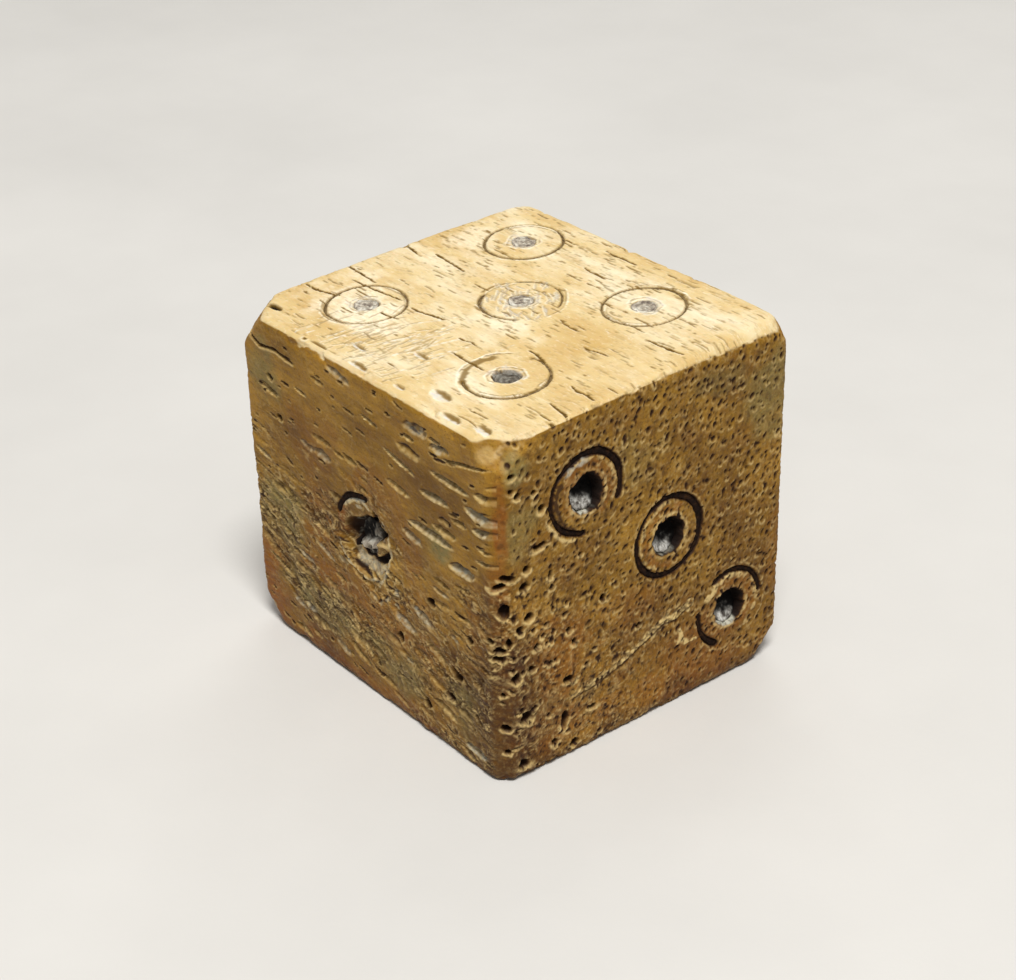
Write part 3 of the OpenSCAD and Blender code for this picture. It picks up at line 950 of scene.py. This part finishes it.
def sampled(layer, u, v):
    """A map's value at each point, mixed from the four nearest map points."""
    x = np.clip((u + MAP_HALF) / MAP_STEP, 0, len(steps) - 1.001)
    y = np.clip((v + MAP_HALF) / MAP_STEP, 0, len(steps) - 1.001)
    i, j = x.astype(int), y.astype(int)
    a, b = x - i, y - j
    return (layer[i, j] * (1 - a) * (1 - b) + layer[i + 1, j] * a * (1 - b)
            + layer[i, j + 1] * (1 - a) * b + layer[i + 1, j + 1] * a * b)


def make_mesh(name, points, quads, attributes=None, uv=None):
    """A smooth mesh of quads from points in millimetres."""
    mesh = bpy.data.meshes.new(name)
    mesh.vertices.add(len(points))
    mesh.vertices.foreach_set("co", (points * MM).astype(np.float32).ravel())
    mesh.loops.add(quads.size)
    mesh.loops.foreach_set("vertex_index", quads.astype(np.int32).ravel())
    mesh.polygons.add(len(quads))
    mesh.polygons.foreach_set("loop_start", np.arange(0, quads.size, 4, dtype=np.int32))
    mesh.polygons.foreach_set("use_smooth", np.ones(len(quads), bool))
    for key, values in (attributes or {}).items():
        layer = mesh.attributes.new(key, "FLOAT", "POINT")
        layer.data.foreach_set("value", values.astype(np.float32))
    if uv is not None:
        layer = mesh.uv_layers.new(name=UV_NAME)
        layer.data.foreach_set("uv", uv.astype(np.float32).ravel())
    mesh.update()
    mesh.validate()
    piece = bpy.data.objects.new(name, mesh)
    bpy.context.scene.collection.objects.link(piece)
    return piece


def sample_maps(surface, grids):
    """Every layer's value at each point of the bone, from the maps of the faces it lies on."""
    layers = {key: np.full(len(surface), -1.0) for key in LAYERS}
    for (name, (sideways, upward, _)), grid in zip(FACES.items(), grids):
        place = surface[grid.ravel()] - CENTRE
        for key, layer in layers.items():
            value = sampled(getattr(MAPS[name], key), place @ sideways, place @ upward)
            np.maximum.at(layer, grid.ravel(), value)
    return layers


def work_front_edge(layers, where):
    """Wears away what lies beside the front edge, and then adds what is cut into it."""
    height = where[:, 2]
    off_x, off_y = where[:, 0] - HALF[0], where[:, 1] + HALF[1]
    calm = smooth(0.62 - np.hypot(off_x, off_y), 0, 0.25)
    calm = calm * np.maximum(smooth(height, 0.9, 1.6) * smooth(-height, -5.0, -4.6),
                             smooth(-height, 1.9, 2.4))
    for key in ("depth", "dark", "pale", "grey"):
        layers[key] = layers[key] * (1 - 0.75 * calm)
    near = np.nonzero(np.hypot(off_x, off_y) < 1.6)[0]
    for key, layer in layers.items():
        value = sampled(getattr(FRONT_EDGE, key), (off_x + off_y)[near], height[near])
        layer[near] = np.maximum(layer[near], value)


def bone_depth(layers, where, outward, top):
    """How deep each point lies below the block: what is cut there, and the roughness of the bone."""
    fibres = fractal(where * np.array([0.35, 1, 1]) / 0.16, SEED + 20)
    end = smooth(np.abs(outward[:, 0]), 0.6, 0.9)
    rough = (1 - 0.75 * top) * (1 - 0.4 * end)
    low_half = smooth(-where[:, 2], -1.5, 2.0)
    depth = layers["depth"] + 0.006 * rough * (1 + 1.2 * low_half) * fibres
    depth = depth + 0.015 * fractal(where / 0.9, SEED + 21) * rough
    depth = depth + (0.003 + 0.006 * rough) * fractal(where / 0.1, SEED + 22)
    return np.maximum(depth - 0.012 * layers["pale"], -SKIN)


def bone_stains(where):
    """Where the bone is darker brown towards the foot, partly stain and partly painted shade, and burnt
    nearly black, at its front edge.
    """
    height = where[:, 2]
    lumps = fractal(where / 0.9, SEED + 21)
    front = np.exp(-((where[:, 0] - HALF[0]) ** 2 + (where[:, 1] + HALF[1]) ** 2) / 1.3)
    # Darker brown lower down: partly stain, partly painted shade of the light that falls from above
    stain = smooth(-height + 1.7 * fractal(where / 2.2, SEED + 30), 0.5, 5.5)
    stain = np.clip(stain + front * smooth(-height, -2.5, 0.5) * (0.9 + 0.3 * lumps), 0, 1)
    burnt = np.clip(front * smooth(-height + 1.2 * lumps, -1.5, 2.2) * 1.7, 0, 1)
    foot = 0.6 * smooth(-height - 4.7 + 0.7 * fractal(where / 1.2, SEED + 31), 0, 0.7)
    return stain, np.maximum(burnt, foot)


def bone_faces(grids):
    """The quads of the bone and their UVs: one island for each face of the die, in two rows of three."""
    corners = ((0, 0), (1, 0), (1, 1), (0, 1))
    place = np.arange(CELLS + 1) / CELLS * UV_ISLAND + (1 - UV_ISLAND) / 2
    quads, uv = [], []
    for index, grid in enumerate(grids):
        u, v = np.meshgrid((place + index % 3) / 3, (place + index // 3) / 2, indexing="ij")
        place_uv = np.stack([u, v], -1)
        quads.append(np.stack([grid[a:CELLS + a, b:CELLS + b] for a, b in corners], -1).reshape(-1, 4))
        island = np.stack([place_uv[a:CELLS + a, b:CELLS + b] for a, b in corners], -2)
        uv.append(island.reshape(-1, 4, 2))
    return np.concatenate(quads), np.concatenate(uv)


def build_bone():
    """The bone's mesh, with an attribute for each thing that its material needs to know."""
    cube, grids = cube_grid(CELLS)
    surface, outward = block_surface(cube)
    where = surface - CENTRE
    layers = sample_maps(surface, grids)
    work_front_edge(layers, where)
    top = smooth(outward[:, 2] + 0.06 * fractal(where / 0.35, SEED + 8), 0.6, 0.68)
    depth = bone_depth(layers, where, outward, top)
    stain, burnt = bone_stains(where)
    attributes = {key: layers[key] for key in ("dark", "pale", "grey")}
    # The depth is passed on for the painted shade that darkens hollows
    attributes.update(top=top, hollow=np.clip(depth, 0, 1))
    below_top = {"stain": stain, "burnt": burnt, "orange": layers["orange"], "olive": layers["olive"]}
    attributes.update({key: value * (1 - top) for key, value in below_top.items()})
    quads, uv = bone_faces(grids)
    return make_mesh("bone_die", surface - outward * depth[:, None], quads, attributes, uv)


# ---------------------------------------------------------------- materials

def rgba(text):
    """A colour from its usual six-digit form, in linear light."""
    parts = [int(text[i:i + 2], 16) / 255 for i in (0, 2, 4)]
    return tuple(c / 12.92 if c <= 0.04045 else ((c + 0.055) / 1.055) ** 2.4 for c in parts) + (1,)


class Shader:
    """A material's node tree, with short ways to add and join its nodes. Its lengths are in metres."""

    def __init__(self, name):
        self.material = bpy.data.materials.new(name)
        self.material.use_nodes = True
        self.nodes, self.links = self.material.node_tree.nodes, self.material.node_tree.links
        self.surface = self.nodes["Principled BSDF"]
        self.place = self.add("ShaderNodeTexCoord").outputs["Object"]

    def join(self, value, socket):
        """Links a socket to what another node gives, or sets it to a plain value."""
        if isinstance(value, bpy.types.NodeSocket):
            self.links.new(value, socket)
        else:
            socket.default_value = value

    def add(self, kind, **inputs):
        """A node with the given inputs. An underline in an input's name stands for a space."""
        node = self.nodes.new(kind)
        for key, value in inputs.items():
            self.join(value, node.inputs[key.replace("_", " ")])
        return node

    def attribute(self, name):
        node = self.nodes.new("ShaderNodeAttribute")
        node.attribute_name = name
        return node.outputs["Fac"]

    def noise(self, scale, detail=4.0, roughness=0.6, stretch=(1, 1, 1)):
        """Noise with bumps 1 / scale apart, less the smaller stretch is along an axis."""
        place = self.add("ShaderNodeMapping", Vector=self.place, Scale=stretch).outputs["Vector"]
        inputs = {"Vector": place, "Scale": scale, "Detail": detail, "Roughness": roughness}
        return self.add("ShaderNodeTexNoise", **inputs).outputs["Fac"]

    def ramp(self, factor, stops):
        """A colour that changes with a factor, through the given (place, colour) stops."""
        node = self.add("ShaderNodeValToRGB", Fac=factor)
        elements = node.color_ramp.elements
        while len(elements) < len(stops):
            elements.new(0.5)
        for element, (place, colour) in zip(elements, stops):
            element.position = place
            element.color = rgba(colour)
        return node.outputs["Color"]

    def span(self, factor, low_in, high_in, low_out=0.0, high_out=1.0):
        """A factor moved from one span of values to another."""
        node = self.add("ShaderNodeMapRange", Value=factor, From_Min=low_in, From_Max=high_in, To_Min=low_out,
                        To_Max=high_out)
        return node.outputs["Result"]

    def math(self, operation, a, b=0.0):
        node = self.nodes.new("ShaderNodeMath")
        node.operation = operation
        self.join(a, node.inputs[0])
        self.join(b, node.inputs[1])
        return node.outputs["Value"]

    def mix(self, factor, a, b):
        """Colour a where the factor is 0 and colour b where it is 1."""
        node = self.nodes.new("ShaderNodeMix")
        node.data_type = "RGBA"
        for index, value in ((0, factor), (6, a), (7, b)):
            self.join(value, node.inputs[index])
        return node.outputs[2]

    def tints(self, colour, tints):
        """A colour with others laid over it, each (factor, low_in, high_in, most, colour)."""
        for factor, low_in, high_in, most, tint in tints:
            colour = self.mix(self.span(factor, low_in, high_in, 0.0, most), colour, rgba(tint))
        return colour

    def stains(self, colour, stains):
        """A colour with stains over it, each (attribute, factor, the factor's span, colour)."""
        for name, factor, span, stain in stains:
            amount = self.math("MULTIPLY", self.attribute(name), self.span(factor, *span))
            colour = self.mix(amount, colour, rgba(stain) if isinstance(stain, str) else stain)
        return colour

    def bump(self, height, distance, strength, normal=None):
        """A normal that leans as if the surface had the given relief, on top of another one."""
        node = self.add("ShaderNodeBump", Height=height, Distance=distance, Strength=strength)
        if normal is not None:
            self.links.new(normal, node.inputs["Normal"])
        return node.outputs["Normal"]

    def finish(self, colour, roughness, normal, **values):
        """The material, with the rest of its surface's inputs at the given values."""
        inputs = {"Base_Color": colour, "Roughness": roughness, "Normal": normal, **values}
        for key, value in inputs.items():
            self.join(value, self.surface.inputs[key.replace("_", " ")])
        return self.material


def bone_material():
    """Cream on top and brown on the sides, with stains, chips and dirt where the maps say. Shade is painted
    in hollows, under rims and on the sides, and highlights on lower lips.
    """
    s = Shader("worn_bone")
    patches = s.noise(420, 5, 0.6, (0.6, 1, 1))
    blotches = s.noise(1500, 5, 0.65, (0.5, 1, 1))
    streaks = s.noise(3800, 5, 0.65, (0.12, 1, 1))
    specks = s.noise(9000, 4, 0.65, (0.5, 1, 1))
    grains = s.noise(22000, 3, 0.6, (0.6, 1, 1))
    cream = s.ramp(patches, [(0.32, "CEAA66"), (0.48, "DEC38A"), (0.66, "F0E2BE")])
    cream = s.tints(cream, [(blotches, 0.48, 0.72, 0.65, "D6B474"), (streaks, 0.45, 0.75, 0.5, "C5A064"),
                            (specks, 0.55, 0.8, 0.4, "FFF6DC")])
    # The sides' browns are partly the bone's own colour and partly painted shade, darker as if the upright
    # faces got little light
    side = s.ramp(patches, [(0.34, "724D0B"), (0.5, "946C1D"), (0.66, "B4862F")])
    side = s.tints(side, [(blotches, 0.5, 0.7, 0.5, "7C4E12"), (streaks, 0.45, 0.72, 0.5, "523208")])
    # The brown that grows lower down is partly stain and partly painted shade
    side = s.stains(side, [("olive", specks, (0.35, 0.65, 0.45, 0.95), "767044"),
                           ("stain", blotches, (0.35, 0.65, 0.6, 0.15), "6A3C12"),
                           ("orange", blotches, (0.3, 0.7, 0.9, 0.5), "8A500E"),
                           ("burnt", streaks, (0.3, 0.7, 0.95, 0.5), "38180A")])
    side = s.tints(side, [(specks, 0.56, 0.74, 0.35, "B69046"), (grains, 0.56, 0.72, 0.6, "362006")])
    top, dark = s.attribute("top"), s.attribute("dark")
    colour = s.mix(top, side, cream)
    # Painted shade: darker brown the deeper the surface lies, in hollows, pits and grooves
    colour = s.tints(colour, [(s.attribute("hollow"), 0.04, 0.3, 0.6, "4A2C12")])
    # The pale marks' darker copy on the sides is painted shade
    pale = s.mix(top, rgba("D8BA7C"), rgba("FFF4D8"))
    colour = s.stains(colour, [("pale", specks, (0.3, 0.6, 0.5, 1.0), pale)])
    colour = s.mix(s.span(dark, 0.0, 0.55), colour, s.mix(top, rgba("3A2008"), rgba("806228")))
    colour = s.mix(s.span(dark, 0.5, 1.0), colour, s.mix(specks, rgba("060201"), rgba("1C0E05")))
    # The grey dirt's darker copy on the sides is painted shade
    grey = s.mix(top, rgba("BCB8A6"), rgba("DCD8CC"))
    colour = s.stains(colour, [("grey", specks, (0.35, 0.6, 0.3, 1.0), grey)])
    rough = s.math("ADD", s.span(specks, 0.3, 0.7, 0.45, 0.68), s.math("MULTIPLY", dark, 0.25))
    fine = s.bump(streaks, 0.00004, 0.5)
    fine = s.bump(specks, 0.00002, 0.6, fine)
    normal = s.bump(grains, 0.000008, 0.5, fine)
    return s.finish(colour, rough, normal, Subsurface_Weight=0.1, Subsurface_Radius=(1.0, 0.55, 0.3),
                    Subsurface_Scale=0.0003, IOR=1.45, Specular_IOR_Level=0.25)


def ring_fill_material():
    """Dark wax and dirt, faded to the colour of the bone where faded is 1."""
    s = Shader("dark_ring_dirt")
    lumps = s.noise(5200, 4, 0.7)
    grains = s.noise(16000, 3, 0.6)
    fresh = s.ramp(lumps, [(0.3, "0A0502"), (0.52, "1E1008"), (0.72, "402812")])
    faded = s.ramp(lumps, [(0.3, "4E3A20"), (0.55, "86704A"), (0.75, "B8A278")])
    colour = s.mix(s.attribute("faded"), fresh, faded)
    colour = s.tints(colour, [(grains, 0.66, 0.82, 0.5, "6B4E28")])
    rough = s.span(grains, 0.3, 0.7, 0.7, 0.95)
    return s.finish(colour, rough, s.bump(lumps, 0.00004, 0.8), IOR=1.4, Specular_IOR_Level=0.15)


def dot_fill_material():
    """Black as painted shade of the deep pit, with grey dust where dust is 1 and worn to a pale grey where
    faded is 1.
    """
    s = Shader("grey_dot_dirt")
    lumps = s.noise(4200, 4, 0.7)
    grains = s.noise(14000, 3, 0.6)
    pale = s.ramp(lumps, [(0.38, "4C4640"), (0.5, "9A968E"), (0.64, "DAD8D0")])
    # Painted shade: near black, where the deep pit lies in shadow
    pit_shade = s.ramp(grains, [(0.3, "030201"), (0.6, "0A0604"), (0.8, "1C130A")])
    colour = s.mix(s.attribute("dust"), pit_shade, pale)
    worn = s.ramp(lumps, [(0.36, "84766A"), (0.5, "BEB29E"), (0.64, "F0EAD8")])
    colour = s.mix(s.attribute("faded"), colour, worn)
    rough = s.span(grains, 0.3, 0.7, 0.65, 0.95)
    return s.finish(colour, rough, s.bump(lumps, 0.00005, 0.8), IOR=1.4, Specular_IOR_Level=0.25)


# ---------------------------------------------------------------- fillings

def on_face(face, u, v, depth):
    """The point of the die that lies at u, v of a face and at a depth below it."""
    sideways, upward, outward = FACES[face]
    u, v, depth = np.broadcast_arrays(u, v, depth)
    if face == "five":
        flat = top_normal
        out = top_point[2] - HALF[2] - v * top_normal[1] / top_normal[2]
    else:
        flat = outward
        out = np.abs(outward) @ HALF + 0 * v
    return (CENTRE + u[..., None] * sideways + v[..., None] * upward + out[..., None] * outward
            - (depth + SKIN)[..., None] * flat)


def grid_quads(rows, columns, rows_close=False, columns_close=True):
    """Quads over points that are numbered row by row, in a grid that may close on itself."""
    lines = [(i * columns, (i + 1) % rows * columns) for i in range(rows if rows_close else rows - 1)]
    spans = [(j, (j + 1) % columns) for j in range(columns if columns_close else columns - 1)]
    return [(near + j, far + j, far + k, near + k) for near, far in lines for j, k in spans]


def end_caps(rows, columns, turn):
    """Quads that close both ends of a tube of points. turn is 1 or -1, for the way round of the first."""
    quads = []
    for row, way in ((0, turn), (rows - 1, -turn)):
        loop = [row * columns + j for j in range(columns)][::way]
        quads += [(loop[0], loop[k], loop[k + 1], loop[k + 2]) for k in range(1, columns - 2, 2)]
    return quads


def ring_arc(pip, start, sweep):
    """The filling of one arc: a closed, lumpy band that lies in the groove."""
    closed = sweep >= 360
    count = max(24, int(sweep / 2.5))
    degrees = start + np.linspace(0, sweep, count, endpoint=not closed)
    angle = np.radians(degrees)[:, None]
    taper = 0.12 + 0.88 * np.sqrt(arc_weight(degrees, start, sweep))[:, None]
    section = np.linspace(0, 2 * math.pi, 11)[:-1]
    x, y = np.cos(section), np.sin(section)
    across = pip.ring.line(angle) + 0.92 * pip.ring.half_width(angle) * taper * np.sign(x) * np.abs(x) ** 0.6
    lump = 0.018 * noise(np.stack(np.broadcast_arrays(angle * 14, x * 2.0), -1), pip.ring.seed)
    depth = 0.62 * pip.ring_depth + 0.02 - 0.4 * pip.ring_depth * y * taper - lump
    points = on_face(pip.face, pip.u + across * np.cos(angle), pip.v + across * np.sin(angle), depth)
    quads = grid_quads(count, len(section), rows_close=closed)
    if not closed:
        quads += end_caps(count, len(section), -1)
    return points.reshape(-1, 3), quads


def ring_fill(pip, material):
    """The filling of one ring, in as many parts as the ring has arcs."""
    points, quads, count = [], [], 0
    for start, sweep in pip.arcs:
        part, faces = ring_arc(pip, start, sweep)
        quads += [tuple(count + i for i in quad) for quad in faces]
        points.append(part)
        count += len(part)
    faded = np.full(count, 0.8 if pip.face == "five" else 0.0)
    name = f"{pip.face}_ring_dirt_{pip.index}"
    piece = make_mesh(name, np.concatenate(points), np.array(quads), {"faded": faded})
    settle(piece, material, pip.ring_node)


def dot_looks(pip, x, y, share, lump, toward, bridge):
    """How dusty and how faded the top of a dot's filling is."""
    if pip.face == "one":
        dust = np.clip(0.85 * bridge + 0.35 * smooth(lump, 0.1, 0.6), 0, 1)
        return dust, dust
    dust = smooth(toward + 0.35 * lump, 0.2, 0.65)
    if pip.face != "five":
        return dust, np.zeros(x.shape)
    swirl = np.sin(share * 15 + 2 * np.arctan2(y, x))
    deep = pip.index == 5
    return dust * (not deep), np.clip(0.75 + 0.25 * swirl, 0, 1) * (0.35 if deep else 1)


def dot_fill(pip, material):
    """The filling of one dot: a lumpy cake on the floor of the pit."""
    columns, rows = 40, 9
    angle = np.linspace(0, 2 * math.pi, columns, endpoint=False)
    share = np.concatenate([np.linspace(0.08, 1, rows), np.linspace(1, 0.08, rows)])[:, None]
    upper = np.arange(2 * rows)[:, None] < rows
    radius = 0.96 * pip.dot.line(angle)
    x, y = share * radius * np.cos(angle), share * radius * np.sin(angle)
    lump = fractal(np.stack([x, y], -1) / 0.2, pip.dot.seed)
    toward = (-0.4 * x - 0.92 * y) / pip.dot.radius
    bridge = bell(across_crater(x, y) + 0.17 + 0.06 * lump, 0.11)
    if pip.face == "one":
        surface = pip.dirt_depth - 0.06 * lump - 0.2 * bridge
    else:
        slant = 0.02 if pip.face == "five" else 0.24
        surface = pip.dirt_depth + 0.05 * (1 - share ** 2) - 0.05 * lump - slant * toward
    surface = np.minimum(surface, pip.dot_depth - 0.03)
    points = on_face(pip.face, pip.u + x, pip.v + y, np.where(upper, surface, pip.dot_depth + 0.03))
    quads = grid_quads(2 * rows, columns) + end_caps(2 * rows, columns, 1)
    dust, faded = dot_looks(pip, x, y, share, lump, toward, bridge)
    attributes = {"dust": (dust * upper).ravel(), "faded": (faded * upper).ravel()}
    piece = make_mesh(f"{pip.face}_dot_dirt_{pip.index}", points.reshape(-1, 3), np.array(quads), attributes)
    settle(piece, material, pip.dot_node)


def settle(piece, material, node):
    """Gives a piece its material and its place in the frame."""
    piece.data.materials.append(material)
    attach(piece, "root")
    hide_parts(node)


# ---------------------------------------------------------------- floor, light and camera

FLOOR_REACH = 600  # half the width of the floor, in millimetres
FLOOR_POINTS = 25  # along each side of the floor
ROOM_COLOUR = (0.86, 0.85, 0.83, 1)
ROOM_LIGHT = 0.32
# Place and size in metres, and power in watts, of each light
LIGHTS = {
    "overhead": ((0.1, -0.056, 0.262), 0.09, 0.79),
    "back_fill": ((-0.15, 0.16, 0.2), 0.2, 0.15),
}
# Fitted to the die's corners and pips: angles in degrees, distance in metres, lens in millimetres, and
# the shift as a part of the picture's width
CAMERA = {"azimuth": 51.8, "elevation": 29.2, "roll": -1.55, "distance": 0.0639, "lens": 76.1,
          "shift": (-0.0045, -0.0121)}


def floor_material():
    s = Shader("pale_floor")
    mottle = s.noise(60, 4, 0.6)
    colour = s.ramp(mottle, [(0.3, "D2CFC9"), (0.7, "DAD7D1")])
    rough = s.span(mottle, 0.3, 0.7, 0.8, 0.9)
    return s.finish(colour, rough, s.bump(s.noise(2500, 3), 0.00002, 0.3))


def build_floor():
    """A wide, plain floor at the height of the die's resting face."""
    spots = np.linspace(-FLOOR_REACH, FLOOR_REACH, FLOOR_POINTS)
    x, y = np.meshgrid(spots, spots, indexing="ij")
    points = np.stack([x, y, np.full_like(x, low[2])], -1).reshape(-1, 3)
    quads = grid_quads(FLOOR_POINTS, FLOOR_POINTS, columns_close=False)
    floor = make_mesh("floor", points, np.array(quads))
    floor.data.materials.append(floor_material())


def area_light(name, place, size, power):
    """A round light that looks at the middle of the die. Places and sizes are in metres."""
    light = bpy.data.lights.new(name, "AREA")
    light.shape = "DISK"
    light.size, light.energy = size, power
    lamp = bpy.data.objects.new(name, light)
    lamp.location = place
    aim = Vector((0, 0, HALF[2] * MM)) - lamp.location
    lamp.rotation_euler = aim.to_track_quat("-Z", "Y").to_euler()
    bpy.context.scene.collection.objects.link(lamp)


def build_camera(azimuth, elevation, roll, distance, lens, shift):
    """A camera that looks at the middle of the die from an angle round it and an angle above it."""
    a, e, r = (math.radians(angle) for angle in (azimuth, elevation, roll))
    back = Vector((math.sin(a) * math.cos(e), -math.cos(a) * math.cos(e), math.sin(e)))
    level = Vector((math.cos(a), math.sin(a), 0))
    upright = back.cross(level)
    right = math.cos(r) * level + math.sin(r) * upright
    up = back.cross(right)
    place = Vector(CENTRE * MM) + distance * back
    data = bpy.data.cameras.new("camera")
    data.lens = lens
    data.sensor_width = 36
    data.shift_x, data.shift_y = shift
    data.clip_start, data.clip_end = 0.001, 5
    camera = bpy.data.objects.new("camera", data)
    camera.matrix_world = Matrix((right, up, back)).transposed().to_4x4()
    camera.location = place
    bpy.context.scene.collection.objects.link(camera)
    bpy.context.scene.camera = camera


def build_world():
    """A soft, even light from all around."""
    world = bpy.data.worlds.new("soft_room")
    world.use_nodes = True
    background = world.node_tree.nodes["Background"]
    background.inputs["Color"].default_value = ROOM_COLOUR
    background.inputs["Strength"].default_value = ROOM_LIGHT
    bpy.context.scene.world = world


settle(build_bone(), bone_material(), "bone_body")
ring_dirt, dot_dirt_and_shade = ring_fill_material(), dot_fill_material()
for pip in PIPS.values():
    ring_fill(pip, ring_dirt)
    dot_fill(pip, dot_dirt_and_shade)
build_floor()
build_world()
for name, (place, size, power) in LIGHTS.items():
    area_light(name, place, size, power)
build_camera(**CAMERA)
bpy.context.scene.view_settings.view_transform = "Standard"
